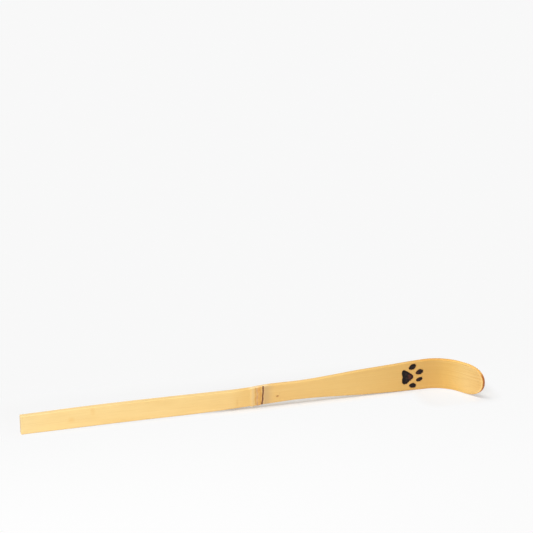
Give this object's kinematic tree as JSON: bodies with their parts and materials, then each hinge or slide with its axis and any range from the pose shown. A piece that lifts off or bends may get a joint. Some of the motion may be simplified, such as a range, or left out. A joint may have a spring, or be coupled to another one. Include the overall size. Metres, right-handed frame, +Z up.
{
  "type": "tea scoop",
  "caption": "Slender bamboo scoop for powdered tea: a flat handle, a ringed node and a flared blade bent up to a rounded tip, with a burnt paw print.",
  "frame": {"origin": "middle of the scoop's bounding box in X and Y, on the floor it stands on", "axes": "+X along the strip from the butt end to the scoop, -Y the skin side that the tip bends towards, +Z up across the strip as it stands on its long edge"},
  "size_m": [0.1733, 0.0182, 0.012],
  "materials": {
    "bamboo": "satin",
    "scar": "matt",
    "char": "matt"
  },
  "bodies": {
    "root": {"bamboo_strip": "bamboo", "sheath_scar": "scar", "bud_scar": "scar", "burnt_pad": "char", "burnt_toe_1": "char", "burnt_toe_2": "char", "burnt_toe_3": "char", "burnt_toe_4": "char"}
  },
  "joints": []
}
